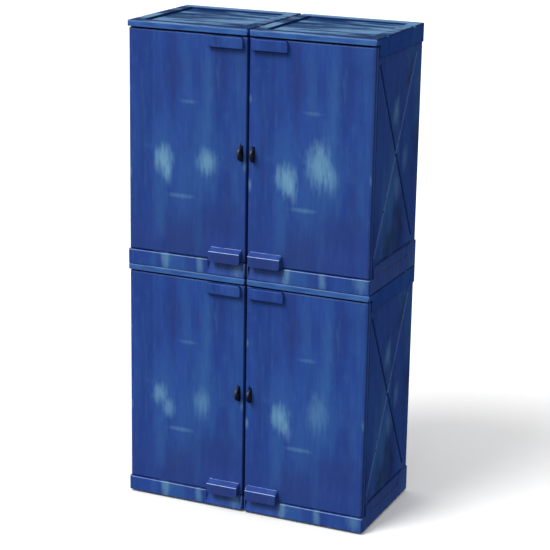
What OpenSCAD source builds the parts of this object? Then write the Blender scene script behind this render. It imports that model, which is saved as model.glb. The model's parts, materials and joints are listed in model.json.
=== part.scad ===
// Modular moulded locker bank: two columns of two stacked single-door lockers.
// Millimetres. +Z up, doors face -Y, origin at the bottom centre of the whole bank.
// A module is drawn with its hinge side at X = 0, its rim plane at Y = 0 and its foot at Z = 0.

/* [Module] */
// Width of one locker module
module_w = 454; // [430:1:500]
// Depth of one module, from the rim plane to the back
module_d = 457; // [430:1:560]
// Height of one module, from the underside of its foot to the top of its lid
module_h = 868; // [800:1:960]
// Gap between the two columns
column_gap = 6; // [5:1:10]
// How far a foot nests into the lid below
nest = 8; // [6:1:10]

/* [Shells] */
// Wall thickness of the moulded base and lid
wall = 5; // [4:1:6]
// Radius of the upright corners of the base and lid
corner_r = 9; // [7:1:12]
// Radius of the lid's upper edges
lid_edge_r = 6; // [3:0.5:6]
// Height of the base flange round the sides and back
base_flange_h = 90; // [80:1:100]
// Height of the base apron under the door
apron_h = 52; // [48:1:60]
// Height of the lid flange round the sides and back
lid_flange_h = 65; // [58:1:80]
// Height of the lid rim over the door
rim_h = 22; // [20:1:26]
// Width of the raised lip round the recess in the lid
lip_w = 44; // [40:1:50]

/* [Panels] */
// Thickness of the side and back panels
panel_t = 14; // [12:1:16]
// Width of the stile along the front edge of a side panel
stile_w = 32; // [30:1:36]
// Depth of the cross grooves in the outer faces
groove_depth = 5; // [3:0.5:6]
// Width of the cross grooves
groove_w = 12; // [10:1:16]

/* [Door] */
// Thickness of the door
door_t = 30; // [26:1:32]
// Radius of the door's top and bottom edges
door_edge_r = 5; // [3:0.5:8]
// Width of the high pull
high_pull_w = 130; // [116:1:150]
// Width of the low pull
low_pull_w = 118; // [106:1:140]
// How far the high pull stands out from the door
high_pull_out = 15; // [13:1:27]
// How far the low pull stands out from the door
low_pull_out = 25; // [20:1:27]
// Height of the front face of a pull
pull_h = 37; // [32:1:42]

/* [Lock tab] */
// Thickness of the tab that takes a padlock
tab_t = 8; // [6:1:9]
// Height of the tab
tab_h = 50; // [44:1:54]
// How far the tab stands out from the door
tab_out = 28; // [27:1:32]
// Radius of the padlock hole
tab_hole_r = 5; // [4:0.5:6]

/* [Hinge] */
// Radius of a hinge pin
pin_r = 5; // [4:0.5:6]
// Radial running clearance between a pin and its bush
pin_play = 0.05; // [0.02:0.01:0.1]
// Length of pin inside the door
pin_reach = 22; // [18:1:26]

/* [Hidden] */

$fn = 48;
past = 1; // how far a cutting shape runs past the surface that it cuts

// Colours
outer_blue = [0.17, 0.29, 0.58];
door_blue = [0.18, 0.31, 0.62];
inner_blue = [0.15, 0.26, 0.52];
dark_polymer = [0.09, 0.10, 0.13];
dark_nylon = [0.10, 0.12, 0.18];

// Levels up one module
foot_z = nest;
apron_top = foot_z + apron_h;
flange_top = foot_z + base_flange_h;
seat_z = foot_z + 26;
lid_bottom = module_h - lid_flange_h;
rim_bottom = module_h - rim_h;
field_z = module_h - nest;
lip_t = 6;
lid_ceiling = module_h - lip_t;
floor_t = 6;
mid_z = (apron_top + rim_bottom) / 2;

// Depths into one module
door_y = 5;
door_back = door_y + door_t;
frame_y = door_back + 3;
stile_t = 12;
stile_back = frame_y + stile_t;
back_y = module_d - wall - panel_t;

// Widths across one module
inner_x = wall + panel_t;
rib_t = 5;
inner_w = module_w - 2 * inner_x;

// Side flange of the base: a shallow recess in its middle, open at the top
flange_panel_t = 2.5;
flange_panel_y = [114, module_d - 93];
flange_panel_low = flange_top - 38;

// Sump well
well_in = lip_w + 2;
well_w = module_w - 2 * well_in;
well_d = module_d - 2 * well_in;

// Cross grooves: their corners on a side panel and on the back panel
cross_z = [foot_z + 118, module_h - 90];
side_cross_y = [46, 404];
back_cross_x = [48, module_w - 48];
shadow_h = 10; // groove between a side panel and the base flange
shadow_y = [62, module_d - 55];

// Ledges moulded on the side panels, and the shelf on one of them
ledge_out = 12;
ledge_h = 10;
ledge_y = [70, 420];
ledge_z = [220, 440, 640];
shelf_ledge = 1;
shelf_play = 3;
shelf_t = 4;
shelf_lip = 18;
shelf_rib_h = 12;
shelf_rib_x = [60, module_w / 2, module_w - 60];

// Door
door_inset = 2;
free_inset = 1;
door_z = apron_top + 3;
door_top = rim_bottom - 6;
hinge_x = door_inset + door_t / 2;
hinge_y = door_y + door_t / 2;
free_x = module_w - free_inset;
free_r = 5;
door_skin = 6;
door_frame = 42;
door_rib = 8;
pocket_cols = 2;
pocket_rows = 3;

// Pulls
pull_wall = 4;
pull_root = 3; // how far a pull runs into the door
pull_inset = 12;
pull_slope = 13;
pull_corner = 10;
pull_end = free_x - pull_inset;
low_pull_z = door_z - 5;
high_pull_z = door_top - 2 - pull_h;

// Finger scoop in the apron, behind the low pull
scoop_depth = 14;
scoop_w = low_pull_w + 16;
scoop_x = pull_end + 6 - scoop_w;
scoop_low = foot_z + 6;

// Lock tab, and the slot in the door that it comes through
tab_x = module_w - 20;
tab_z = mid_z - 8;
tang_h = 34;
tang_l = 10;
slot_hinge_side = 0.8;
slot_free_side = 3.4;
slot_h = tab_h + 6;

// Hinge
bush_wall = 3;
bush_r = pin_r + bush_wall;
bush_len = 20;
bush_flange_r = 11;
bush_flange_t = 2.7;
pin_seat = 24;
lid_pin_seat = 14;
boss_r = 14;

// Panel pins, driven from inside through the ribs into the panels
drive_r = 4;
drive_head_r = 7;
drive_head_t = 3;
drive_len = 14;
drive_play = 0.05;
side_drive_y = [115, 365];
back_drive_x = [130, module_w - 130];
drive_z = [apron_top - 12, lid_ceiling - 15];

// Notches in the lid's side lips, and the clips that tie the columns in them
notch_y = [100, module_d - 100];
notch_w = 18;
notch_l = 14;
notch_z = module_h - 4;
clip_w = 12;
clip_t = 3;
leg_x = 7;
leg_t = 4;
leg_h = 12;
leg_play = 0.2;

// The whole bank
front_reach = tab_out - door_y;
bank_front = (front_reach - module_d) / 2;
stack_pitch = module_h - nest;

// Puts a module's part into its bay: col 0 is left and 1 right, row 0 is lower and 1 upper
module bay(col, row) {
    side = 2 * col - 1;
    translate([side * (column_gap + module_w) / 2, bank_front, row * stack_pitch])
        mirror([col, 0, 0])
            translate([-module_w / 2, 0, 0])
                children();
}

// Draws its children at the hinge side and, mirrored, at the free side
module both_sides() {
    children();
    translate([module_w, 0, 0]) mirror([1, 0, 0]) children();
}

// Box given by its two corners
module span_box(low, high) {
    translate(low) cube(high - low);
}

// Rectangle with its near corner at the origin and round corners
module round_rect(w, d, r) {
    translate([r, 0]) square([w - 2 * r, d]);
    translate([0, r]) square([w, d - 2 * r]);
    for (x = [r, w - r], y = [r, d - r])
        translate([x, y]) circle(r = r);
}

// Upright block with round corners, given by its two corners
module round_block(low, high, r) {
    translate(low)
        linear_extrude(high[2] - low[2])
            round_rect(high[0] - low[0], high[1] - low[1], r);
}

// Extrudes an outline drawn in depth and height along X
module along_x(x, length) {
    translate([x, 0, 0])
        rotate([90, 0, 90])
            linear_extrude(length) children();
}

// Cylinder along Z with its lower end at z
module upright(x, y, z, r, h) {
    translate([x, y, z]) cylinder(r = r, h = h);
}

// Every panel pin's place: pointing outwards through a side rib or the back rib
module at_panel_pins(z, sides = true, back = true) {
    if (sides)
        for (y = side_drive_y)
            both_sides() translate([inner_x + rib_t, y, z]) rotate([0, -90, 0]) children();
    if (back)
        for (x = back_drive_x)
            translate([x, back_y - rib_t, z]) rotate([-90, 0, 0]) children();
}

module panel_pin_bores(z, sides = true, back = true) {
    at_panel_pins(z, sides, back)
        translate([0, 0, -past]) cylinder(r = drive_r + drive_play, h = drive_len + past + drive_play);
}

// Two crossing grooves of diamond section, in the plane Y = 0, between corners in X and Z
module cross_grooves(x, z) {
    w = x[1] - x[0];
    h = z[1] - z[0];
    tilt = atan(w / h);
    length = sqrt(w * w + h * h);
    translate([(x[0] + x[1]) / 2, 0, (z[0] + z[1]) / 2])
        for (turn = [-tilt, tilt])
            rotate([0, turn, 0])
                translate([0, 0, -length / 2])
                    linear_extrude(length)
                        polygon([
                            [-groove_w / 2, 0], [0, groove_depth],
                            [groove_w / 2, 0], [0, -groove_depth]
                        ]);
}

// ---- base ----

// Hollow front apron; its face leans back by lean towards the top
module apron_outline(lean) {
    polygon([
        [0, foot_z], [0, scoop_low], [lean, apron_top], [frame_y, apron_top],
        [frame_y, foot_z], [frame_y - wall, foot_z], [frame_y - wall, apron_top - wall],
        [lean + wall, apron_top - wall], [wall, scoop_low], [wall, foot_z]
    ]);
}

module apron() {
    along_x(0, scoop_x) apron_outline(0);
    along_x(scoop_x, scoop_w) apron_outline(scoop_depth);
    along_x(scoop_x + scoop_w, module_w - scoop_x - scoop_w) apron_outline(0);
    for (x = [scoop_x - rib_t, scoop_x + scoop_w])
        span_box([x, wall / 2, foot_z], [x + rib_t, frame_y - wall / 2, apron_top - wall / 2]);
    both_sides()
        span_box([0, wall / 2, foot_z], [wall, frame_y - wall / 2, apron_top - wall / 2]);
    upright(hinge_x, hinge_y, seat_z - rib_t, boss_r, apron_top - seat_z + rib_t / 2);
}

module base_walls() {
    difference() {
        round_block([0, 0, foot_z], [module_w, module_d, flange_top], corner_r);
        span_box([-past, -past, foot_z - past],
                 [module_w + past, frame_y - wall / 2, flange_top + past]);
        span_box([wall, 0, foot_z - past], [module_w - wall, module_d - wall, flange_top + past]);
    }
}

// Door side of the side walls, cut down to the apron
module above_apron() {
    span_box([-past, -past, apron_top], [module_w + past, frame_y, flange_top + past]);
}

// Seats under the panels and the ribs that stand inside them
module panel_seats() {
    both_sides() {
        span_box([wall / 2, frame_y - wall / 2, seat_z - rib_t],
                 [inner_x + rib_t / 2, module_d - wall / 2, seat_z]);
        span_box([wall / 2, frame_y - wall / 2, seat_z - rib_t],
                 [wall + stile_w, stile_back, seat_z]);
        span_box([inner_x, stile_back, foot_z], [inner_x + rib_t, back_y, apron_top]);
    }
    span_box([inner_x, back_y - rib_t / 2, seat_z - rib_t],
             [module_w - inner_x, module_d - wall / 2, seat_z]);
    span_box([inner_x, back_y - rib_t, foot_z], [module_w - inner_x, back_y, apron_top]);
}

// Floor and the well in it; the underside of the well is the foot
module sump() {
    difference() {
        union() {
            span_box([inner_x, frame_y - wall / 2, foot_z],
                     [module_w - inner_x, back_y, foot_z + floor_t]);
            round_block([well_in, well_in, 0],
                        [well_in + well_w, well_in + well_d, foot_z + floor_t], corner_r);
        }
        round_block([well_in + rib_t, well_in + rib_t, floor_t],
                    [well_in + well_w - rib_t, well_in + well_d - rib_t, foot_z + floor_t + past],
                    corner_r / 2);
    }
}

module base() {
    color(outer_blue)
        difference() {
            union() {
                base_walls();
                intersection() {
                    apron();
                    round_block([0, 0, 0], [module_w, module_d, module_h], corner_r);
                }
                panel_seats();
                sump();
            }
            above_apron();
            upright(hinge_x, hinge_y, apron_top - pin_seat, pin_r, pin_seat + past);
            both_sides()
                span_box([-past, flange_panel_y[0], flange_panel_low],
                         [flange_panel_t, flange_panel_y[1], flange_top + past]);
            panel_pin_bores(drive_z[0]);
        }
}

// ---- lid ----

// Outside of the lid: round upright corners and round upper edges
module lid_block() {
    below = lid_bottom - 2 * lid_edge_r;
    intersection() {
        round_block([0, 0, lid_bottom], [module_w, module_d, module_h], corner_r);
        along_x(0, module_w)
            translate([0, below]) round_rect(module_d, module_h - below, lid_edge_r);
        translate([0, module_d, 0])
            rotate([90, 0, 0])
                linear_extrude(module_d)
                    translate([0, below]) round_rect(module_w, module_h - below, lid_edge_r);
    }
}

module lid_shell() {
    difference() {
        lid_block();
        // room for the door
        span_box([-past, -past, lid_bottom - past], [module_w + past, frame_y, rim_bottom]);
        // hollow over the panels
        span_box([wall, frame_y, lid_bottom - past], [module_w - wall, module_d - wall, lid_ceiling]);
        // channel over the door
        span_box([wall, wall, rim_bottom - past], [module_w - wall, frame_y - wall, lid_ceiling]);
    }
}

// Ribs under the lid that stand inside the panels
module lid_ribs() {
    rib_low = drive_z[1] - 2 * drive_head_r + 2;
    both_sides()
        span_box([inner_x, stile_back, rib_low], [inner_x + rib_t, back_y, lid_ceiling + past]);
    span_box([inner_x, back_y - rib_t, rib_low],
             [module_w - inner_x, back_y, lid_ceiling + past]);
}

module lid() {
    field_in = lip_w - rib_t;
    color(outer_blue)
        difference() {
            union() {
                lid_shell();
                lid_ribs();
                round_block([field_in, field_in, field_z - floor_t],
                            [module_w - field_in, module_d - field_in, lid_ceiling + past],
                            corner_r + rib_t);
                upright(hinge_x, hinge_y, rim_bottom, boss_r, lid_ceiling + past - rim_bottom);
            }
            // recess that takes the foot of the module above
            round_block([lip_w, lip_w, field_z],
                        [module_w - lip_w, module_d - lip_w, module_h + past], corner_r);
            upright(hinge_x, hinge_y, rim_bottom - past, pin_r, lid_pin_seat + past);
            for (y = notch_y)
                both_sides() {
                    span_box([-past, y - notch_w / 2, notch_z],
                             [notch_l, y + notch_w / 2, module_h + past]);
                    clip_leg(y, leg_play, past);
                }
            panel_pin_bores(drive_z[1]);
        }
}

// ---- panels ----

// Outer side panel; with_lock adds the pocket that holds the lock tab
module side_panel(with_lock) {
    color(inner_blue)
        difference() {
            union() {
                span_box([wall, frame_y, seat_z], [inner_x, module_d - wall, lid_ceiling]);
                span_box([wall, frame_y, seat_z], [wall + stile_w, stile_back, lid_ceiling]);
                for (z = ledge_z)
                    span_box([inner_x, ledge_y[0], z - ledge_h], [inner_x + ledge_out, ledge_y[1], z]);
            }
            translate([wall, 0, 0])
                rotate([0, 0, 90]) cross_grooves(side_cross_y, cross_z);
            span_box([0, shadow_y[0], flange_top],
                     [wall + groove_depth, shadow_y[1], flange_top + shadow_h]);
            for (z = drive_z)
                panel_pin_bores(z, back = false);
            for (y = notch_y)
                clip_leg(y, leg_play, past);
            if (with_lock)
                translate([module_w, 0, 0]) mirror([1, 0, 0]) lock_tang(leg_play / 2);
        }
}

module outer_side() {
    side_panel(false);
}

module inner_side() {
    translate([module_w, 0, 0]) mirror([1, 0, 0]) side_panel(true);
}

module back_panel() {
    color(inner_blue)
        difference() {
            span_box([inner_x, back_y, seat_z], [module_w - inner_x, module_d - wall, lid_ceiling]);
            translate([0, module_d - wall, 0]) cross_grooves(back_cross_x, cross_z);
            for (z = drive_z)
                panel_pin_bores(z, sides = false);
        }
}

// ---- door ----

// Plan of the door: a round hinge edge and eased corners on the free edge
module door_plan() {
    translate([hinge_x, hinge_y]) circle(r = door_t / 2);
    translate([hinge_x, door_y]) square([free_x - free_r - hinge_x, door_t]);
    translate([free_x - free_r, door_y + free_r]) square([free_r, door_t - 2 * free_r]);
    for (y = [door_y + free_r, door_back - free_r])
        translate([free_x - free_r, y]) circle(r = free_r);
}

// Outline of a pull in depth and height; out is how far it stands out from the door, and slope
// how far its top runs back up the door
module pull_outline(z, out, slope, inside) {
    front = door_y - out + inside;
    back = door_y + (inside > 0 ? 1 : pull_root);
    top = z + pull_h - inside;
    polygon([[front, z - inside], [front, top], [back, top + slope], [back, z - inside]]);
}

// Front outline of a pull; its two lower or its two upper corners are round
module pull_front(z, width, height, low) {
    round_z = low ? z + pull_corner : z + height - pull_corner;
    square_z = low ? z + pull_corner : z;
    translate([pull_end - width, module_d / 2, 0])
        rotate([90, 0, 0])
            linear_extrude(module_d) {
                translate([0, square_z]) square([width, height - pull_corner]);
                translate([pull_corner, z]) square([width - 2 * pull_corner, height]);
                for (x = [pull_corner, width - pull_corner])
                    translate([x, round_z]) circle(r = pull_corner);
            }
}

module pull(z, width, out, slope, low) {
    intersection() {
        along_x(pull_end - width, width) pull_outline(z, out, slope, 0);
        pull_front(z, width, pull_h + slope, low);
    }
}

// Finger space inside a pull, open underneath
module pull_hollow(z, width, out, slope) {
    along_x(pull_end - width + pull_wall, width - 2 * pull_wall)
        pull_outline(z, out, slope, pull_wall);
}

module door_pockets() {
    x0 = hinge_x + door_t / 2 + 10;
    x1 = free_x - door_frame;
    z0 = door_z + door_frame;
    z1 = door_top - door_frame;
    w = (x1 - x0 - (pocket_cols - 1) * door_rib) / pocket_cols;
    h = (z1 - z0 - (pocket_rows - 1) * door_rib) / pocket_rows;
    for (i = [0 : pocket_cols - 1], k = [0 : pocket_rows - 1])
        translate([x0 + i * (w + door_rib), door_y + door_skin, z0 + k * (h + door_rib)])
            cube([w, door_t, h]);
}

// The door without its pulls, its top and bottom edges round
module door_slab() {
    intersection() {
        translate([0, 0, door_z]) linear_extrude(door_top - door_z) door_plan();
        along_x(0, module_w)
            translate([door_y, door_z]) round_rect(door_t, door_top - door_z, door_edge_r);
    }
}

module door() {
    color(door_blue)
        difference() {
            union() {
                door_slab();
                pull(low_pull_z, low_pull_w, low_pull_out, pull_slope, true);
                pull(high_pull_z, high_pull_w, high_pull_out, 0, false);
            }
            door_pockets();
            pull_hollow(low_pull_z, low_pull_w, low_pull_out, pull_slope);
            pull_hollow(high_pull_z, high_pull_w, high_pull_out, 0);
            span_box([tab_x - tab_t / 2 - slot_hinge_side, -past, tab_z - slot_h / 2],
                     [tab_x + tab_t / 2 + slot_free_side, door_back + past, tab_z + slot_h / 2]);
            upright(hinge_x, hinge_y, door_z - past, bush_r, pin_reach + 1 + past);
            upright(hinge_x, hinge_y, door_top - pin_reach - 1, bush_r, pin_reach + 1 + past);
        }
}

// ---- small parts ----

module hinge_pins() {
    color(dark_nylon) {
        upright(hinge_x, hinge_y, apron_top - pin_seat, pin_r,
                pin_seat + door_z - apron_top + pin_reach);
        upright(hinge_x, hinge_y, door_top - pin_reach, pin_r,
                pin_reach + rim_bottom - door_top + lid_pin_seat);
    }
}

// One flanged bush, its flange below the origin
module bush() {
    difference() {
        union() {
            cylinder(r = bush_r, h = bush_len);
            translate([0, 0, -bush_flange_t]) cylinder(r = bush_flange_r, h = bush_flange_t);
        }
        translate([0, 0, -bush_flange_t - past])
            cylinder(r = pin_r + pin_play, h = bush_len + bush_flange_t + 2 * past);
    }
}

module hinge_bushes() {
    color(dark_nylon) {
        translate([hinge_x, hinge_y, door_z]) bush();
        translate([hinge_x, hinge_y, door_top]) mirror([0, 0, 1]) bush();
    }
}

// Tang behind the lock tab, grown by play to cut its pocket
module lock_tang(play) {
    span_box([tab_x - tab_t / 2 - play, frame_y - play, tab_z - tang_h / 2 - play],
             [tab_x + tab_t / 2 + play, frame_y + tang_l + play, tab_z + tang_h / 2 + play]);
}

module lock_tab() {
    round_y = door_y - tab_out + tab_h / 2;
    hole_y = door_y - tab_out / 2 - 1;
    color(dark_polymer)
        difference() {
            union() {
                along_x(tab_x - tab_t / 2, tab_t) {
                    translate([round_y, tab_z]) circle(r = tab_h / 2);
                    translate([round_y, tab_z - tab_h / 2]) square([frame_y - round_y, tab_h]);
                }
                lock_tang(0);
            }
            translate([tab_x - tab_t, hole_y, tab_z])
                rotate([0, 90, 0]) cylinder(r = tab_hole_r, h = 2 * tab_t);
        }
}

module shelf() {
    z = ledge_z[shelf_ledge];
    low = [inner_x + shelf_play, stile_back + shelf_play, z];
    high = [module_w - inner_x - shelf_play, back_y - shelf_play, z + shelf_lip];
    color(inner_blue) {
        difference() {
            round_block(low, high, corner_r);
            round_block([low[0] + shelf_t, low[1] + shelf_t, z + shelf_t],
                        [high[0] - shelf_t, high[1] - shelf_t, z + shelf_lip + past],
                        corner_r - shelf_t);
        }
        for (x = shelf_rib_x)
            span_box([x - shelf_t / 2, ledge_y[0], z - shelf_rib_h],
                     [x + shelf_t / 2, ledge_y[1], z + shelf_t / 2]);
    }
}

module panel_pins() {
    color(dark_nylon)
        for (z = drive_z)
            at_panel_pins(z) {
                cylinder(r = drive_r, h = drive_len);
                translate([0, 0, -drive_head_t]) cylinder(r = drive_head_r, h = drive_head_t);
            }
}

// One leg of a column clip at the hinge side of a lid, grown by play to cut its socket
module clip_leg(y, play, up) {
    span_box([leg_x - play, y - clip_w / 2 + 2 - play, notch_z - leg_h - play],
             [leg_x + leg_t + play, y + clip_w / 2 - 2 + play, notch_z + up]);
}

module column_clips() {
    reach = column_gap / 2 + leg_x + leg_t;
    color(dark_polymer)
        for (row = [0, 1], y = notch_y) {
            translate([-reach, bank_front + y - clip_w / 2, row * stack_pitch + notch_z])
                cube([2 * reach, clip_w, clip_t]);
            for (turn = [0, 1])
                mirror([turn, 0, 0])
                    translate([column_gap / 2, bank_front, row * stack_pitch])
                        clip_leg(y, 0, clip_t / 2);
        }
}

bay(0, 1) base();  // upper_left_base
bay(0, 1) lid();  // upper_left_lid
bay(0, 1) outer_side();  // upper_left_outer_side
bay(0, 1) inner_side();  // upper_left_inner_side
bay(0, 1) back_panel();  // upper_left_back
bay(0, 1) door();  // upper_left_door
bay(0, 1) shelf();  // upper_left_shelf
bay(0, 1) hinge_pins();  // upper_left_hinge_pins
bay(0, 1) hinge_bushes();  // upper_left_hinge_bushes
bay(0, 1) lock_tab();  // upper_left_lock_tab
bay(0, 1) panel_pins();  // upper_left_panel_pins

bay(1, 1) base();  // upper_right_base
bay(1, 1) lid();  // upper_right_lid
bay(1, 1) outer_side();  // upper_right_outer_side
bay(1, 1) inner_side();  // upper_right_inner_side
bay(1, 1) back_panel();  // upper_right_back
bay(1, 1) door();  // upper_right_door
bay(1, 1) shelf();  // upper_right_shelf
bay(1, 1) hinge_pins();  // upper_right_hinge_pins
bay(1, 1) hinge_bushes();  // upper_right_hinge_bushes
bay(1, 1) lock_tab();  // upper_right_lock_tab
bay(1, 1) panel_pins();  // upper_right_panel_pins

bay(0, 0) base();  // lower_left_base
bay(0, 0) lid();  // lower_left_lid
bay(0, 0) outer_side();  // lower_left_outer_side
bay(0, 0) inner_side();  // lower_left_inner_side
bay(0, 0) back_panel();  // lower_left_back
bay(0, 0) door();  // lower_left_door
bay(0, 0) shelf();  // lower_left_shelf
bay(0, 0) hinge_pins();  // lower_left_hinge_pins
bay(0, 0) hinge_bushes();  // lower_left_hinge_bushes
bay(0, 0) lock_tab();  // lower_left_lock_tab
bay(0, 0) panel_pins();  // lower_left_panel_pins

bay(1, 0) base();  // lower_right_base
bay(1, 0) lid();  // lower_right_lid
bay(1, 0) outer_side();  // lower_right_outer_side
bay(1, 0) inner_side();  // lower_right_inner_side
bay(1, 0) back_panel();  // lower_right_back
bay(1, 0) door();  // lower_right_door
bay(1, 0) shelf();  // lower_right_shelf
bay(1, 0) hinge_pins();  // lower_right_hinge_pins
bay(1, 0) hinge_bushes();  // lower_right_hinge_bushes
bay(1, 0) lock_tab();  // lower_right_lock_tab
bay(1, 0) panel_pins();  // lower_right_panel_pins

column_clips();
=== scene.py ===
import json
import math

import bmesh
import bpy
from mathutils import Matrix, Vector, noise

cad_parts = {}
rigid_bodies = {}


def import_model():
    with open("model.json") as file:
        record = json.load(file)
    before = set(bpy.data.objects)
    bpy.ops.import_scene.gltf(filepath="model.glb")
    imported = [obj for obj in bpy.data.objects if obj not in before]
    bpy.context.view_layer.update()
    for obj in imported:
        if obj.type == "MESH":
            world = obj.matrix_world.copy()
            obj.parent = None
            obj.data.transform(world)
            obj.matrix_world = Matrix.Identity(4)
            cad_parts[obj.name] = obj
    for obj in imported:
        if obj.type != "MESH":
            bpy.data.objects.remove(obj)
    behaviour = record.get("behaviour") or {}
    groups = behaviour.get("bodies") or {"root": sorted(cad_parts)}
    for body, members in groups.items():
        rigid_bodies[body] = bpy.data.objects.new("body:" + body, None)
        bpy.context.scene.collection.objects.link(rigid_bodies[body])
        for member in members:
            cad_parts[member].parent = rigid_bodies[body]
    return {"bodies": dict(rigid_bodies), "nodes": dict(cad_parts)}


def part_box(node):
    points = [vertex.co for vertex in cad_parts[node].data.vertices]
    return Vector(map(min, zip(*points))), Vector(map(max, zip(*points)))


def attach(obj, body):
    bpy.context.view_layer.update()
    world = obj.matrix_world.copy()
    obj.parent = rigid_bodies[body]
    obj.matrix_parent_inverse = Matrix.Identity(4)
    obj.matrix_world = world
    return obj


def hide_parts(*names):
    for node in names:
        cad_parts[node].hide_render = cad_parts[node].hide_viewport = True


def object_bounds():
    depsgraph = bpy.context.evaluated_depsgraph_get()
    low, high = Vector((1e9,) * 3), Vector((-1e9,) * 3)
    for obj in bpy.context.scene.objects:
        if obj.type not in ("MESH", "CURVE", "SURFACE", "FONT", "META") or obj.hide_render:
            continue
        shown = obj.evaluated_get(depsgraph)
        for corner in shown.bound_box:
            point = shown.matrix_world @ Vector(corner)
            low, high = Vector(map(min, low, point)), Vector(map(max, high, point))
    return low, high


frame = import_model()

cad_low, cad_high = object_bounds()

# Camera: where it stands, seen from the middle of the cabinet, and its lens
CAMERA_AZIMUTH = 23.8
CAMERA_ELEVATION = 16.0
CAMERA_DISTANCE = 6.38
CAMERA_ROLL = 0.97
CAMERA_LENS = 117.8
CAMERA_RIGHT = 0.0147
CAMERA_UP = -0.0351
SENSOR = 36.0

# Light: the dome's strength on its bright side, on the other side and below the horizon, and where it fades
SKY_LIGHT = 1.0
SKY_DIM_SIDE = 0.72
BELOW_LIGHT = 0.12
SKY_BRIGHT_SIDE = (-0.75, -0.66, 0)
SIDE_FADE = (-0.7, 0.7)
HORIZON_FADE = (-0.05, 0.10)
SUN_POWER = 2.4
SUN_SPREAD = 26.0
SUN_FROM = Vector((-0.32, -0.56, 0.766))
FLOOR_SIZE = 80
FLOOR_GREY = 0.90
FLOOR_ROUGHNESS = 0.9
FLOOR_SPECULAR = 0.1

# Rounding: vertices closer than WELD are one, and only edge runs longer than SHORTEST_EDGE are rounded
WELD = 1e-5
COPLANAR = math.radians(1)
SHARP = math.radians(50)
RUN_ON = math.cos(math.radians(35))
SHORTEST_EDGE = 0.045
SMOOTH = math.radians(40)
BEVEL_SEGMENTS = 3
ON_PLANE = 1e-6
FIRST_CUT = 0.62

# Each kind of moulding: the radius of its edges, and the axis and spacing of the planes that split its faces
SHAPES = {
    "door": (0.0015, ((0, 0.02), (2, 0.02))),
    "base": (0.002, ((0, 0.04), (1, 0.04))),
    "lid": (0.002, ((0, 0.03), (1, 0.03))),
    "side": (0.0015, ((1, 0.02), (2, 0.02))),
    "back": (0.0015, ((0, 0.04), (2, 0.04))),
    "shelf": (0.0012, ((0, 0.05), (1, 0.05))),
    "lock_tab": (0.0015, ()),
}
# How deep the slow waves in a moulding's faces are, and how long
WAVES = {
    "base": (0.0004, 0.12),
    "lid": (0.0005, 0.12),
    "back": (0.0005, 0.15),
    "shelf": (0.0003, 0.1),
    "lock_tab": (0.0001, 0.03),
}
# A door's front: how soon it goes flat towards its sides and its pulls, then the depth, width, height and
# noise slice of its ripples and of its warp
FLAT_BESIDE = 0.05
FLAT_BY_PULLS = 0.06
RIPPLE = (0.0005, 0.07, 0.5, 3.1)
WARP = (0.0012, 0.30, 0.40, 7.7)
# A side panel's fields: how high they swell, over what distance, and where that starts from a groove's middle
SWELL = 0.0024
SWELL_RISE = 0.07
GROOVE_HALF = 0.007
# How far from a face's plane a vertex may be and still count as on it
ON_FACE = 0.0002

# How mark_edges() tells faces apart, by the parts of their normal and by their area, and how strongly it
# flags the rounded faces that show only faint wear and the groove walls that face away from the light, which
# get painted shade
UPRIGHT_OR_FLAT = 0.985
NARROW = 6e-5
LEANING = 0.25
GROOVE_SLOPE = (0.60, 0.92)
FAINT_WEAR = 0.03
GROOVE_PAINTED_SHADE = 0.75

# Sizes that the looks repeat from the CAD. The grooves, and the part of a side panel that shows, are measured
# from the front lower corner of the module's base.
DOOR_THICK = 0.030
PULL_ZONE = 0.047
LID_LIP = 0.030
LID_RECESS = 0.009
GROOVE_Y = (0.046, 0.404)
GROOVE_Z = (0.126, 0.778)
PANEL_VISIBLE_Y = (0.052, 0.450)
PANEL_VISIBLE_Z = (0.110, 0.800)

# Marks are whole down to the first depth from the outer face, and gone at the second
DOOR_SKIN = (0.003, 0.0045)
APRON_SKIN = (0.020, 0.030)
PANEL_SKIN = (0.007, 0.009)

# Polyethylene blues, as linear colours
DEEP = (0.016, 0.051, 0.255)
MID = (0.021, 0.066, 0.305)
TEAL = (0.034, 0.118, 0.350)
DUSK = (0.021, 0.042, 0.190)
PALE = (0.150, 0.340, 0.520)
# Pale of rounded edges: a painted highlight where they face the light, faint wear elsewhere
HIGHLIGHT_AND_WEAR_PALE = (0.480, 0.600, 0.880)
# Painted shade in upper edges, grooves and recesses
PAINTED_SHADE_DARK = (0.004, 0.012, 0.050)
# The next three: painted sheen of faces that look up, in streaks from dark to pale
TOP_DARK = (0.005, 0.025, 0.088)
TOP_MID = (0.014, 0.050, 0.136)
TOP_PALE = (0.098, 0.197, 0.342)
SIDE_SHADE = (0.010, 0.024, 0.080)
# Painted highlight on rims that look to the front
RIM_PALE = (0.060, 0.165, 0.420)

# Small dark mouldings, each between two linear colours
NYLON_COLOURS = ((0.006, 0.010, 0.030), (0.014, 0.022, 0.050))
POLYMER_COLOURS = ((0.006, 0.007, 0.012), (0.016, 0.018, 0.026))
NYLON_GRAIN = 1500
POLYMER_GRAIN = 1200
POLYMER_SPECULAR = 0.4

# Streaks: how often they change in a metre along each axis, then their detail and roughness. The broad bands
# and the hairlines scale the same three numbers.
UPRIGHT_STREAKS = (17, 17, 1.7)
LID_STREAKS = (4, 19, 6)
STREAK_DETAIL = (3.0, 0.55)
BROAD_SCALE = 0.38
BROAD_LEAST = 1.5
HAIR_SCALE = 5
HAIR_DETAIL = (3.0, 0.6)
# Other noise: how often it changes in a metre along each axis, its detail and, unless it is 0.5, its
# roughness
MOTTLE = ((34, 34, 22), 5.0, 0.62)
BRUSHED = ((70, 70, 16), 4.0, 0.65)
CLOUD = ((6, 6, 4), 3.0, 0.6)
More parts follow.
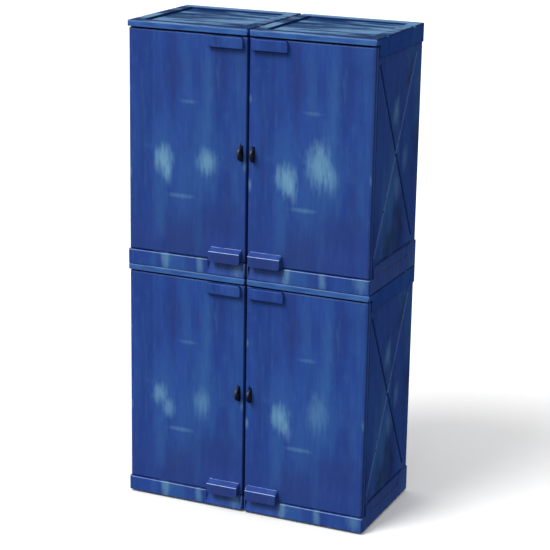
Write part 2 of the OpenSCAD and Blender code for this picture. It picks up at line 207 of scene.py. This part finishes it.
# The next three break up the painted sheen on faces that look up and the painted highlight on front rims
TOP_SHEEN_STREAKS = ((3.5, 20, 20), 5.0, 0.62)
SWEEP = ((3, 11, 11), 3.0, 0.55)
RIM_HIGHLIGHT_NOISE = ((9, 9, 60), 3.0)
PEEL = ((95, 95, 70), 3.0)
GRAIN = ((1100, 1100, 1100), 2.0)
POLYMER_CLOUD = ((60, 60, 60), 3.0)

# How noise becomes a share of a colour: its value where that starts and where it ends, then the share at each
MID_SHARE = (0.34, 0.66)
BROAD_RANGE = (0.45, 0.75)
MOTTLE_SHARE = (0.52, 0.80, 0.0, 0.35)
CLOUD_RANGE = (0.48, 0.72)
PALE_HAIRS = (0.50, 0.72, 0.0, 0.30)
DARK_HAIRS = (0.28, 0.46, 0.28, 0.0)
# The next three: shares of the painted sheen on faces that look up and of the painted highlight on front rims
TOP_SHEEN_SHARE = (0.38, 0.52)
PALE_TOP_SHEEN_SHARE = (0.94, 1.16)
RIM_SHARE = (0.30, 0.70, 0.25, 0.85)
EVEN_SHARE = (0.3, 0.7)
# Share of an edge's paleness: a painted highlight where it faces the light, faint wear elsewhere
HIGHLIGHT_AND_WEAR_RANGE = (0.30, 0.60)
# Shade at a door's foot, how far marks are ragged, how dark the painted shade in edges, grooves and recesses
# is, the least paleness of an edge, painted highlight and faint wear alike, and how that paleness fades above
# the height where it stops
FOOT_SHADE = 0.45
RAGGED = 1.5
PAINTED_SHADE_SHARE = 0.85
LEAST_HIGHLIGHT_AND_WEAR = 0.55
HIGHLIGHT_AND_WEAR_FADE = 1.2
HIGHLIGHT_AND_WEAR_ABOVE = 0.05
# A mark fades from SPOT_CORE to SPOT_EDGE of its reach
SPOT_CORE = 0.1
SPOT_EDGE = 1.3
# How far a normal's part along an axis goes from looking elsewhere to looking that way
FACING = (0.45, 0.90)
# Roughness between two values by noise, and bumps as their height and strength
PLASTIC_ROUGHNESS = (0.3, 0.7, 0.40, 0.58)
POLYMER_ROUGHNESS = (0.3, 0.7, 0.35, 0.52)
PEEL_BUMP = (0.0012, 0.25)
GRAIN_BUMP = (0.0002, 0.35)
POLYMER_BUMP = (0.0002, 0.3)

# What sets each kind of moulding apart, for polyethylene()
DOOR_LOOK = {"foot": 0.30, "highlight_and_wear": 0.95, "pale_edges_below": 0.09}
BASE_LOOK = {"teal": 0.75, "highlight_and_wear": 0.38, "cloudy": 0.25}
LID_LOOK = {"specular": 0.005, "highlight_and_wear": 0.12, "top": True}
SIDE_LOOK = {"specular": 0.05, "teal": 0.85, "highlight_and_wear": 0.13, "shade": SIDE_SHADE, "cloudy": 0.75}
BACK_LOOK = {"specular": 0.05}

# Marks. Each is its place, its reach and its strength. Places and reaches are shares of the width and height
# of the node's box, from its lower left corner, and on a side panel of its depth and height, from its lower
# front corner.
# Painted highlights: soft pale patches of reflected light on each door's front
DOOR_HIGHLIGHTS = {
    "upper_left": ((0.30, 0.43, 0.080, 0.075, 0.90), (0.34, 0.37, 0.040, 0.060, 0.35),
                   (0.67, 0.44, 0.085, 0.065, 0.75)),
    "upper_right": ((0.31, 0.40, 0.095, 0.070, 0.90), (0.37, 0.34, 0.040, 0.050, 0.35),
                    (0.57, 0.48, 0.110, 0.105, 0.80), (0.67, 0.42, 0.065, 0.065, 0.45)),
    "lower_left": ((0.27, 0.43, 0.075, 0.055, 0.60), (0.35, 0.37, 0.060, 0.050, 0.50),
                   (0.64, 0.42, 0.075, 0.070, 0.42)),
    "lower_right": ((0.29, 0.41, 0.080, 0.070, 0.80), (0.36, 0.35, 0.040, 0.050, 0.30),
                    (0.60, 0.46, 0.095, 0.095, 0.30)),
}
# Pale smears on every door: flecks by its sides and two thin bands across it, the lower one a painted
# highlight
DOOR_SMEARS_AND_HIGHLIGHTS = ((0.008, 0.36, 0.024, 0.032, 0.55), (0.008, 0.74, 0.020, 0.026, 0.35),
               (0.45, 0.275, 0.12, 0.012, 0.30), (0.52, 0.70, 0.090, 0.010, 0.20),
               (0.99, 0.44, 0.018, 0.030, 0.35))
# Teal columns on every door; the last two are painted halos round the painted highlights
TEAL_COLUMNS = ((0.68, 0.76, 0.060, 0.30, 0.55), (0.27, 0.22, 0.060, 0.22, 0.45),
                (0.50, 0.86, 0.050, 0.24, 0.40), (0.60, 0.14, 0.050, 0.18, 0.25),
                (0.31, 0.46, 0.140, 0.18, 0.50), (0.66, 0.47, 0.140, 0.17, 0.45))
DUSK_COLUMNS = ((0.39, 0.84, 0.040, 0.28, 0.60), (0.42, 0.08, 0.160, 0.13, 0.55),
                (0.12, 0.55, 0.035, 0.28, 0.30), (0.86, 0.30, 0.040, 0.26, 0.30))
# Painted highlights on the base's apron: tall pale streaks
APRON_HIGHLIGHTS = ((0.33, 0.55, 0.050, 0.60, 0.55), (0.62, 0.50, 0.035, 0.60, 0.45),
                 (0.93, 0.55, 0.060, 0.50, 0.35))
SIDE_PATCHES = ((0.42, 0.68, 0.070, 0.070, 0.50), (0.66, 0.47, 0.060, 0.060, 0.30),
                (0.50, 0.36, 0.090, 0.060, 0.25))
# The shade on the front of a low pull: its place across the door as a share from the hinge side, its height
# above the pull's underside and its reach in metres, and its strength
PULL_MIDDLE = 0.845
PULL_SHADE_HEIGHT = 0.016
PULL_SHADE_REACH = (0.082, 0.010, 0.035)
PULL_SHADE = 0.85

RANGE_SOCKETS = ("From Min", "From Max", "To Min", "To Max")
MODULES = sorted(b[: -len("_door")] for b in frame["bodies"] if b.endswith("_door"))


def column(module):
    """-1 for the left column, +1 for the right one."""
    return -1 if module.endswith("left") else 1


def smooth_step(value):
    """0 up to 0 and 1 from 1, with a smooth rise between."""
    value = min(max(value, 0.0), 1.0)
    return value * value * (3 - 2 * value)


# ---- camera, lights and floor ----


def add_camera():
    """The photo's camera, turned a little about its own axis and shifted a little off the middle."""
    a, e = math.radians(CAMERA_AZIMUTH), math.radians(CAMERA_ELEVATION)
    back = Vector((math.sin(a) * math.cos(e), -math.cos(a) * math.cos(e), math.sin(e)))
    right = Vector((math.cos(a), math.sin(a), 0))
    up = back.cross(right)
    middle = Vector((0, 0, (cad_low.z + cad_high.z) / 2))
    camera = bpy.data.objects.new("camera", bpy.data.cameras.new("camera"))
    bpy.context.scene.collection.objects.link(camera)
    camera.data.sensor_width = SENSOR
    camera.data.lens = CAMERA_LENS
    roll = Matrix.Rotation(math.radians(CAMERA_ROLL), 4, "Z")
    turn = Matrix((right, up, back)).transposed().to_4x4() @ roll
    place = middle + right * CAMERA_RIGHT + up * CAMERA_UP + back * CAMERA_DISTANCE
    camera.matrix_world = Matrix.Translation(place) @ turn
    bpy.context.scene.camera = camera


def add_sun():
    """A wide soft sun from above, to the left of the doors."""
    lamp = bpy.data.lights.new("key", "SUN")
    lamp.energy = SUN_POWER
    lamp.angle = math.radians(SUN_SPREAD)
    sun = bpy.data.objects.new("key", lamp)
    bpy.context.scene.collection.objects.link(sun)
    sun.rotation_mode = "QUATERNION"
    sun.rotation_quaternion = (-SUN_FROM).to_track_quat("-Z", "Y")


def add_world():
    """A white dome, dimmer towards the right and the back, and dark below the floor."""
    world = bpy.data.worlds.new("studio")
    world.use_nodes = True
    tree = world.node_tree
    background = tree.nodes["Background"]
    background.inputs["Color"].default_value = (1, 1, 1, 1)
    coords = tree.nodes.new("ShaderNodeTexCoord").outputs["Generated"]
    aside = tree.nodes.new("ShaderNodeVectorMath")
    aside.operation = "DOT_PRODUCT"
    aside.inputs[1].default_value = SKY_BRIGHT_SIDE
    height = tree.nodes.new("ShaderNodeSeparateXYZ")
    ramps = []
    for fade, dim, full in ((SIDE_FADE, SKY_DIM_SIDE, SKY_LIGHT), (HORIZON_FADE, BELOW_LIGHT, 1.0)):
        ramp = tree.nodes.new("ShaderNodeMapRange")
        for socket, number in zip(RANGE_SOCKETS, (*fade, dim, full)):
            ramp.inputs[socket].default_value = number
        ramps.append(ramp)
    product = tree.nodes.new("ShaderNodeMath")
    product.operation = "MULTIPLY"
    tree.links.new(coords, aside.inputs[0])
    tree.links.new(coords, height.inputs[0])
    tree.links.new(aside.outputs["Value"], ramps[0].inputs["Value"])
    tree.links.new(height.outputs["Z"], ramps[1].inputs["Value"])
    for socket, ramp in zip(product.inputs, ramps):
        tree.links.new(ramp.outputs["Result"], socket)
    tree.links.new(product.outputs[0], background.inputs["Strength"])
    bpy.context.scene.world = world


def add_floor():
    """A pale floor that neither lights the cabinet from below nor shows in it."""
    bpy.ops.mesh.primitive_plane_add(size=FLOOR_SIZE, location=(0, 0, cad_low.z))
    floor = bpy.context.object
    floor.name = "floor"
    paint = bpy.data.materials.new("floor")
    paint.use_nodes = True
    shader = paint.node_tree.nodes["Principled BSDF"]
    shader.inputs["Base Color"].default_value = (FLOOR_GREY, FLOOR_GREY, FLOOR_GREY, 1)
    shader.inputs["Roughness"].default_value = FLOOR_ROUGHNESS
    shader.inputs["Specular IOR Level"].default_value = FLOOR_SPECULAR
    floor.data.materials.append(paint)
    floor.visible_diffuse = False
    floor.visible_glossy = False


# ---- materials ----


class Nodes:
    """Short calls for building one material's node tree."""

    def __init__(self, name, specular):
        self.material = bpy.data.materials.new(name)
        self.material.use_nodes = True
        self.tree = self.material.node_tree
        self.shader = self.tree.nodes["Principled BSDF"]
        self.shader.inputs["Specular IOR Level"].default_value = specular
        self.coords = self.tree.nodes.new("ShaderNodeTexCoord").outputs["Object"]

    def feed(self, socket, value):
        """Links a socket, or sets it to a number or a triple."""
        if isinstance(value, bpy.types.NodeSocket):
            self.tree.links.new(value, socket)
        elif socket.type == "RGBA":
            socket.default_value = (*value, 1)
        else:
            socket.default_value = value

    def vector(self, operation, a, b=None):
        node = self.tree.nodes.new("ShaderNodeVectorMath")
        node.operation = operation
        self.feed(node.inputs[0], a)
        if b is not None:
            self.feed(node.inputs[1], b)
        return node.outputs["Value" if operation == "LENGTH" else "Vector"]

    def math(self, operation, a, b, clamp=False):
        node = self.tree.nodes.new("ShaderNodeMath")
        node.operation = operation
        node.use_clamp = clamp
        self.feed(node.inputs[0], a)
        self.feed(node.inputs[1], b)
        return node.outputs[0]

    def noise(self, at, scale, detail=2.0, rough=0.5):
        """Noise from 0 to 1; scale is how often it changes in a metre, along each axis."""
        node = self.tree.nodes.new("ShaderNodeTexNoise")
        node.inputs["Scale"].default_value = 1.0
        node.inputs["Detail"].default_value = detail
        node.inputs["Roughness"].default_value = rough
        self.feed(node.inputs["Vector"], self.vector("MULTIPLY", at, scale))
        return node.outputs["Fac"]

    def ramp(self, value, low, high, to_low=0.0, to_high=1.0):
        """Goes smoothly from to_low to to_high while the value goes from low to high."""
        node = self.tree.nodes.new("ShaderNodeMapRange")
        node.interpolation_type = "SMOOTHSTEP"
        for socket, number in zip(RANGE_SOCKETS, (low, high, to_low, to_high)):
            node.inputs[socket].default_value = number
        self.feed(node.inputs["Value"], value)
        return node.outputs["Result"]

    def mix(self, factor, a, b):
        """Colour between a and b, each a colour or a socket."""
        node = self.tree.nodes.new("ShaderNodeMix")
        node.data_type = "RGBA"
        self.feed(node.inputs["Factor"], factor)
        self.feed(node.inputs[6], a)
        self.feed(node.inputs[7], b)
        return node.outputs[2]

    def axis(self, at, name):
        """One part of a vector: X, Y or Z."""
        node = self.tree.nodes.new("ShaderNodeSeparateXYZ")
        self.feed(node.inputs[0], at)
        return node.outputs[name]

    def facing_up(self):
        """1 on faces that look up and 0 on upright ones."""
        node = self.tree.nodes.new("ShaderNodeNewGeometry")
        return self.ramp(self.axis(node.outputs["Normal"], "Z"), *FACING)

    def facing_front(self):
        """1 on faces that look to the front and 0 on the rest."""
        node = self.tree.nodes.new("ShaderNodeNewGeometry")
        return self.ramp(self.axis(node.outputs["Normal"], "Y"), -FACING[1], -FACING[0], 1.0, 0.0)

    def attribute(self, name):
        """A face attribute that mark_edges() wrote."""
        node = self.tree.nodes.new("ShaderNodeAttribute")
        node.attribute_name = name
        return node.outputs["Fac"]

    def bump(self, height, distance, strength, before=None):
        node = self.tree.nodes.new("ShaderNodeBump")
        node.inputs["Distance"].default_value = distance
        node.inputs["Strength"].default_value = strength
        self.feed(node.inputs["Height"], height)
        if before:
            self.feed(node.inputs["Normal"], before)
        return node.outputs["Normal"]

    def spots(self, at, marks, ragged):
        """Sum of soft-edged spots, each given by its centre, its reach and its strength.

        A reach of 0 leaves that axis out. ragged is added to how far a point is, to break the edges up.
        """
        total = None
        for centre, reach, strength in marks:
            shift = self.vector("SUBTRACT", at, centre)
            flat = self.vector("MULTIPLY", shift, tuple(1 / r if r else 0.0 for r in reach))
            far = self.math("ADD", self.vector("LENGTH", flat), ragged)
            spot = self.ramp(far, SPOT_CORE, SPOT_EDGE, strength, 0.0)
            total = spot if total is None else self.math("ADD", total, spot, clamp=True)
        return total


def blotched_blue(n, at, streak, mottle, teal, cloudy, shade):
    """Blue with long streaks, broad teal bands, mottling, clouds of shade, and hairlines like the streaks."""
    streaks = n.noise(at, streak, *STREAK_DETAIL)
    broad = n.noise(at, tuple(s * BROAD_SCALE + BROAD_LEAST for s in streak))
    cloud = n.noise(at, *CLOUD)
    hairline = n.noise(at, tuple(s * HAIR_SCALE for s in streak), *HAIR_DETAIL)
    colour = n.mix(n.ramp(streaks, *MID_SHARE), DEEP, MID)
    colour = n.mix(n.ramp(broad, *BROAD_RANGE, 0.0, teal), colour, TEAL)
    colour = n.mix(n.ramp(mottle, *MOTTLE_SHARE), colour, TEAL)
    colour = n.mix(n.ramp(cloud, *CLOUD_RANGE, 0.0, cloudy), colour, shade)
    colour = n.mix(n.ramp(hairline, *PALE_HAIRS), colour, TEAL)
    return n.mix(n.ramp(hairline, *DARK_HAIRS), colour, DUSK)


def top_sheen_and_rim_highlight(n, at, colour):
    """Painted sheen in streaks on faces that look up, and a painted highlight, a paler band, on those that
    look to the front.
    """
    sheen_streaks = n.noise(at, *TOP_SHEEN_STREAKS)
    sweep = n.noise(at, *SWEEP)
    sheened_top = n.mix(n.ramp(sheen_streaks, *TOP_SHEEN_SHARE), TOP_DARK, TOP_MID)
    sheened_top = n.mix(n.ramp(n.math("ADD", sheen_streaks, sweep), *PALE_TOP_SHEEN_SHARE), sheened_top, TOP_PALE)
    rim_highlight = n.math("MULTIPLY", n.facing_front(), n.ramp(n.noise(at, *RIM_HIGHLIGHT_NOISE), *RIM_SHARE))
    colour = n.mix(rim_highlight, colour, RIM_PALE)
    return n.mix(n.facing_up(), colour, sheened_top)


def marked(n, at, colour, marks, shown):
    """Soft marks with ragged edges, a list of them for each tint."""
    ragged = n.math("MULTIPLY", n.math("SUBTRACT", n.noise(at, *BRUSHED), 0.5), RAGGED)
    for tint, spots in marks.items():
        colour = n.mix(n.math("MULTIPLY", n.spots(at, spots, ragged), shown), colour, tint)
    return colour


def edge_highlights_shade_and_wear(n, at, colour, mottle, highlight_and_wear, pale_edges_below, shown):
    """Painted shade in upper edges, grooves and recesses, and pale edges where mark_edges() flags them: a
    painted highlight where they face the light, faint wear elsewhere.
    """
    colour = n.mix(n.math("MULTIPLY", n.attribute("edge_painted_shade"), PAINTED_SHADE_SHARE), colour, PAINTED_SHADE_DARK)
    patchy = n.ramp(mottle, *HIGHLIGHT_AND_WEAR_RANGE, LEAST_HIGHLIGHT_AND_WEAR * highlight_and_wear, highlight_and_wear)
    highlight_and_wear_share = n.math("MULTIPLY", n.attribute("edge_highlight_and_wear"), patchy)
    highlight_and_wear_share = n.math("MULTIPLY", highlight_and_wear_share, shown)
    if pale_edges_below:
        low_down = n.ramp(n.axis(at, "Z"), pale_edges_below, pale_edges_below * HIGHLIGHT_AND_WEAR_FADE, 1.0, HIGHLIGHT_AND_WEAR_ABOVE)
        highlight_and_wear_share = n.math("MULTIPLY", highlight_and_wear_share, low_down)
    return n.mix(highlight_and_wear_share, colour, HIGHLIGHT_AND_WEAR_PALE)


def polyethylene(name, origin, streak, marks=None, skin=None, specular=0.2, teal=0.45, cloudy=0.45,
                 shade=DUSK, highlight_and_wear=0.15, foot=None, pale_edges_below=None, top=False):
    """Moulded polyethylene: streaked, blotched and marked blue, with painted highlights and faint wear on its
    edges and painted shade in its upper edges, grooves and recesses.

    streak is how often the streaks change in a metre along each axis, and marks lists spots for each tint.
    skin, from outer_skin(), keeps marks and pale edges to one side of the piece.
    teal and cloudy are how much the broad bands and the blotches of the colour shade take.
    One argument sets how pale the edges are, painted highlights where they face the light and faint wear
    elsewhere, and another, if given, the height below which they are pale.
    foot is the height up to which the foot is darker, and top gives upward faces streaks of painted sheen and
    front rims a painted highlight.
    """
    n = Nodes(name, specular)
    at = n.vector("SUBTRACT", n.coords, tuple(origin))
    mottle = n.noise(at, *MOTTLE)
    shown = n.ramp(n.axis(at, skin[0]), *skin[1:]) if skin else 1.0

    colour = blotched_blue(n, at, streak, mottle, teal, cloudy, shade)
    if foot:
        colour = n.mix(n.ramp(n.axis(at, "Z"), 0.0, foot, FOOT_SHADE, 0.0), colour, DUSK)
    if top:
        colour = top_sheen_and_rim_highlight(n, at, colour)
    if marks:
        colour = marked(n, at, colour, marks, shown)
    colour = edge_highlights_shade_and_wear(n, at, colour, mottle, highlight_and_wear, pale_edges_below, shown)
    n.feed(n.shader.inputs["Base Color"], colour)

    n.feed(n.shader.inputs["Roughness"], n.ramp(mottle, *PLASTIC_ROUGHNESS))
    peel = n.bump(n.noise(at, *PEEL), *PEEL_BUMP)
    n.feed(n.shader.inputs["Normal"], n.bump(n.noise(at, *GRAIN), *GRAIN_BUMP, peel))
    return n.material


def fine_polymer(name, colours, grain_size):
    """Smooth small moulding with a fine grain and faint cloudiness."""
    n = Nodes(name, POLYMER_SPECULAR)
    cloud = n.noise(n.coords, *POLYMER_CLOUD)
    n.feed(n.shader.inputs["Base Color"], n.mix(n.ramp(cloud, *EVEN_SHARE), *colours))
    n.feed(n.shader.inputs["Roughness"], n.ramp(cloud, *POLYMER_ROUGHNESS))
    grain = n.noise(n.coords, (grain_size,) * 3)
    n.feed(n.shader.inputs["Normal"], n.bump(grain, *POLYMER_BUMP))
    return n.material


# ---- moulded shapes ----


def chains(edges):
    """Groups edges that run on into each other without a sharp turn."""
    parent = {e: e for e in edges}

    def find(e):
        while parent[e] is not e:
            parent[e] = parent[parent[e]]
            e = parent[e]
        return e

    for v in {v for e in edges for v in e.verts}:
        here = [e for e in v.link_edges if e in parent]
        for i, a in enumerate(here):
            arriving = (v.co - a.other_vert(v).co).normalized()
            for b in here[i + 1:]:
                leaving = (b.other_vert(v).co - v.co).normalized()
                if arriving.dot(leaving) > RUN_ON:
                    parent[find(a)] = find(b)
    groups = {}
    for e in edges:
        groups.setdefault(find(e), []).append(e)
    return list(groups.values())


def cut_lattice(bm, axis, step):
    """Splits the faces along planes across one axis, so that they can be bent."""
    first = min(v.co[axis] for v in bm.verts)
    last = max(v.co[axis] for v in bm.verts)
    normal = Vector([1.0 if i == axis else 0.0 for i in range(3)])
    at = first + step * FIRST_CUT
    while at < last:
        everything = bm.verts[:] + bm.edges[:] + bm.faces[:]
        bmesh.ops.bisect_plane(bm, geom=everything, dist=ON_PLANE, plane_co=normal * at, plane_no=normal)
        at += step


def stands_out(face):
    """True on a convex edge, where the neighbours lie behind the face."""
    middle = face.calc_center_median()
    beside = [other for edge in face.edges for other in edge.link_faces if other is not face]
    ways = [(other.calc_center_median() - middle).normalized() for other in beside]
    return sum(way.dot(face.normal) for way in ways) < 0


def mark_edges(bm, rounded, recess=None):
    """Flags rounded edges and groove walls: those that face the light get a painted highlight, other upper
    edges and the other groove walls painted shade, and rounded edges that do not face the light faint wear.

    recess is the box of a recess whose walls get painted shade too.
    """
    highlight_and_wear_layer = bm.faces.layers.float.new("edge_highlight_and_wear")
    painted_shade_layer = bm.faces.layers.float.new("edge_painted_shade")
    for face in bm.faces:
        n = face.normal
        slanted = max(abs(n.x), abs(n.y), abs(n.z)) < UPRIGHT_OR_FLAT and face.calc_area() < NARROW
        # Rounded edges facing up and to the front get a painted highlight, other upward ones painted shade,
        # all other rounded ones faint wear
        if face[rounded] or slanted and n.z > LEANING:
            forward = n.y < -LEANING and n.z > LEANING and stands_out(face)
            face[highlight_and_wear_layer] = 1.0 if forward else FAINT_WEAR
            face[painted_shade_layer] = 1.0 if n.z > LEANING and not forward else 0.0
        # A groove wall facing up and to the front gets a painted highlight, the other one painted shade
        elif GROOVE_SLOPE[0] < abs(n.x) < GROOVE_SLOPE[1]:
            lit = n.z > 0 and n.y < 0
            face[highlight_and_wear_layer] = 1.0 if lit else 0.0
            face[painted_shade_layer] = 0.0 if lit else GROOVE_PAINTED_SHADE
        # The walls of the recess get painted shade
        if recess and abs(n.z) < LEANING:
            middle = face.calc_center_median()
            if all(low < at < high for low, at, high in zip(recess[0], middle, recess[1])):
                face[painted_shade_layer] = 1.0


def rounded_shape(node, radius):
    """A copy of a CAD node's mesh with its long sharp edges rounded, and the layer that flags those faces."""
    bm = bmesh.new()
    bm.from_mesh(frame["nodes"][node].data)
    bmesh.ops.remove_doubles(bm, verts=bm.verts, dist=WELD)
    bmesh.ops.dissolve_limit(bm, angle_limit=COPLANAR, verts=bm.verts, edges=bm.edges)
    rounded = bm.faces.layers.int.new("rounded")
    sharp = [e for e in bm.edges if e.is_manifold and e.calc_face_angle(0) > SHARP]
    long_runs = [run for run in chains(sharp) if sum(e.calc_length() for e in run) > SHORTEST_EDGE]
    edges = [e for run in long_runs for e in run]
    bevel = bmesh.ops.bevel(bm, geom=edges, offset=radius, offset_type="OFFSET", segments=BEVEL_SEGMENTS,
                            profile=0.5, affect="EDGES", clamp_overlap=False)
    for face in bevel["faces"]:
        face[rounded] = 1
    return bm, rounded


def moulded(node, radius, lattice, bend, paint, body, slot, recess=None):
    """A piece in place of a CAD node: its edges rounded, its flat faces bent a little as mouldings are."""
    bm, rounded = rounded_shape(node, radius)
    for axis, step in lattice:
        cut_lattice(bm, axis, step)
    bm.normal_update()
    mark_edges(bm, rounded, recess)
    bend(bm)
    data = bpy.data.meshes.new(f"{node}_moulding")
    bm.to_mesh(data)
    bm.free()
    data.shade_smooth()
    data.set_sharp_from_angle(angle=SMOOTH)
    data.materials.append(paint)
    piece = bpy.data.objects.new(f"{node}_moulding", data)
    bpy.context.scene.collection.objects.link(piece)
    normals = piece.modifiers.new("normals", "WEIGHTED_NORMAL")
    normals.keep_sharp = True
    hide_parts(node)
    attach(piece, body)


def waviness(amount, wavelength):
    """Sinks every face by up to amount, slowly varying, as a cooled moulding does."""
    def bend(bm):
        for v in bm.verts:
            wave = noise.noise(v.co / wavelength)
            v.co -= v.normal * amount * (0.5 + 0.5 * wave)
    return bend


def door_bend(low, high):
    """Vertical ripples and a slow warp in the door's front, none at its borders or pulls."""
    front = high.y - DOOR_THICK
    ripple_depth, ripple_width, ripple_height, ripple_slice = RIPPLE
    warp_depth, warp_width, warp_height, warp_slice = WARP

    def bend(bm):
        for v in bm.verts:
            if abs(v.co.y - front) > ON_FACE:
                continue
            aside = min(v.co.x - low.x, high.x - v.co.x)
            along = min(v.co.z - low.z, high.z - v.co.z) - PULL_ZONE
            window = smooth_step(aside / FLAT_BESIDE) * smooth_step(along / FLAT_BY_PULLS)
            here = v.co - low
            ripple = noise.noise(Vector((here.x / ripple_width, ripple_slice, here.z / ripple_height)))
            warp = noise.noise(Vector((here.x / warp_width, warp_slice, here.z / warp_height)))
            v.co.y += window * (ripple_depth * (1 + ripple) + warp_depth * (0.5 + 0.5 * warp))
    return bend


def panel_bend(module, outward, low, high):
    """Pillows the four fields between the crossed grooves of a side panel's outer face."""
    shell_low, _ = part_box(f"{module}_base")
    face = high.x if outward > 0 else low.x
    width, height = GROOVE_Y[1] - GROOVE_Y[0], GROOVE_Z[1] - GROOVE_Z[0]
    across = width * height / math.hypot(width, height)

    def bend(bm):
        for v in bm.verts:
            if abs(v.co.x - face) > ON_FACE:
                continue
            y, z = v.co.y - shell_low.y, v.co.z - shell_low.z
            a, b = (y - GROOVE_Y[0]) / width, (z - GROOVE_Z[0]) / height
            groove = min(abs(b - a), abs(a + b - 1)) * across
            border = min(y - PANEL_VISIBLE_Y[0], PANEL_VISIBLE_Y[1] - y,
                         z - PANEL_VISIBLE_Z[0], PANEL_VISIBLE_Z[1] - z)
            v.co.x += outward * SWELL * smooth_step(min(groove - GROOVE_HALF, border) / SWELL_RISE)
    return bend


# ---- marks ----


def outer_skin(axis, face, inward, depths):
    """Where marks show along an axis: near the outer face at face, fading out between two depths from it."""
    near, far = (face + inward * depth for depth in depths)
    return (axis, near, far, 1, 0) if inward > 0 else (axis, far, near, 0, 1)


def on_front(size, patches):
    """Marks on a front face, from their shares of its width and height."""
    return [((u * size.x, 0, v * size.z), (ru * size.x, 0, rv * size.z), strength)
            for u, v, ru, rv, strength in patches]


def on_side(size, patches):
    """Marks on a side panel, from their shares of its depth and height."""
    return [((0, u * size.y, v * size.z), (0, ru * size.y, rv * size.z), strength)
            for u, v, ru, rv, strength in patches]


def door_marks(module, size):
    """Painted highlights and pale smears, teal columns with painted halos round the highlights, dusky
    columns, and the painted shade on the low pull's front.
    """
    pull = PULL_MIDDLE if column(module) < 0 else 1 - PULL_MIDDLE
    on_pull = ((pull * size.x, 0, PULL_SHADE_HEIGHT), PULL_SHADE_REACH, PULL_SHADE)
    return {
        DUSK: on_front(size, DUSK_COLUMNS) + [on_pull],
        TEAL: on_front(size, TEAL_COLUMNS),
        PALE: on_front(size, DOOR_HIGHLIGHTS[module] + DOOR_SMEARS_AND_HIGHLIGHTS),
    }


# ---- the cabinet's pieces ----


def add_door(module):
    low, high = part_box(f"{module}_door")
    skin = outer_skin("Y", high.y - low.y - DOOR_THICK, 1, DOOR_SKIN)
    paint = polyethylene(f"{module}_door_plastic", low, UPRIGHT_STREAKS, door_marks(module, high - low), skin,
                         **DOOR_LOOK)
    moulded(f"{module}_door", *SHAPES["door"], door_bend(low, high), paint, f"{module}_door", "door")


def add_base(module):
    low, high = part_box(f"{module}_base")
    marks = {PALE: on_front(high - low, APRON_HIGHLIGHTS)}
    skin = outer_skin("Y", 0, 1, APRON_SKIN)
    paint = polyethylene(f"{module}_base_plastic", low, UPRIGHT_STREAKS, marks, skin, **BASE_LOOK)
    moulded(f"{module}_base", *SHAPES["base"], waviness(*WAVES["base"]), paint, "cabinet", "shell")


def add_lid(module):
    low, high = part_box(f"{module}_lid")
    paint = polyethylene(f"{module}_lid_plastic", low, LID_STREAKS, **LID_LOOK)
    inset = Vector((LID_LIP, LID_LIP, 0))
    recess = (low + inset + Vector((0, 0, high.z - low.z - LID_RECESS)), high - inset)
    moulded(f"{module}_lid", *SHAPES["lid"], waviness(*WAVES["lid"]), paint, "cabinet", "shell", recess)


def add_side(module, kind, outward):
    """A side panel whose outer face looks along X if outward is 1, and against it if it is -1."""
    low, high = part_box(f"{module}_{kind}")
    size = high - low
    skin = outer_skin("X", size.x if outward > 0 else 0, -outward, PANEL_SKIN)
    marks = {PALE: on_side(size, SIDE_PATCHES)}
    paint = polyethylene(f"{module}_{kind}_plastic", low, UPRIGHT_STREAKS, marks, skin, **SIDE_LOOK)
    bend = panel_bend(module, outward, low, high)
    moulded(f"{module}_{kind}", *SHAPES["side"], bend, paint, "cabinet", "panel")


def add_back(module):
    low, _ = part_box(f"{module}_back")
    paint = polyethylene(f"{module}_back_plastic", low, UPRIGHT_STREAKS, **BACK_LOOK)
    moulded(f"{module}_back", *SHAPES["back"], waviness(*WAVES["back"]), paint, "cabinet", "panel")


def add_shelf(module):
    low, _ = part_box(f"{module}_shelf")
    paint = polyethylene(f"{module}_shelf_plastic", low, LID_STREAKS)
    moulded(f"{module}_shelf", *SHAPES["shelf"], waviness(*WAVES["shelf"]), paint, "cabinet", "shelf")


def add_lock_tab(module, paint):
    bend = waviness(*WAVES["lock_tab"])
    moulded(f"{module}_lock_tab", *SHAPES["lock_tab"], bend, paint, "cabinet", "tab_polymer")


def repaint(node, paint):
    """Gives a CAD node that stays in view its material."""
    materials = frame["nodes"][node].data.materials
    materials.clear()
    materials.append(paint)


add_camera()
add_world()
add_sun()
add_floor()
bpy.context.scene.view_settings.view_transform = "Standard"

dark_nylon = fine_polymer("dark_nylon", NYLON_COLOURS, NYLON_GRAIN)
dark_polymer = fine_polymer("dark_polymer", POLYMER_COLOURS, POLYMER_GRAIN)
for module in MODULES:
    add_door(module)
    add_base(module)
    add_lid(module)
    add_side(module, "outer_side", column(module))
    add_side(module, "inner_side", -column(module))
    add_back(module)
    add_shelf(module)
    add_lock_tab(module, dark_polymer)
    for kind in ("hinge_pins", "hinge_bushes", "panel_pins"):
        repaint(f"{module}_{kind}", dark_nylon)
repaint("column_clips", dark_polymer)
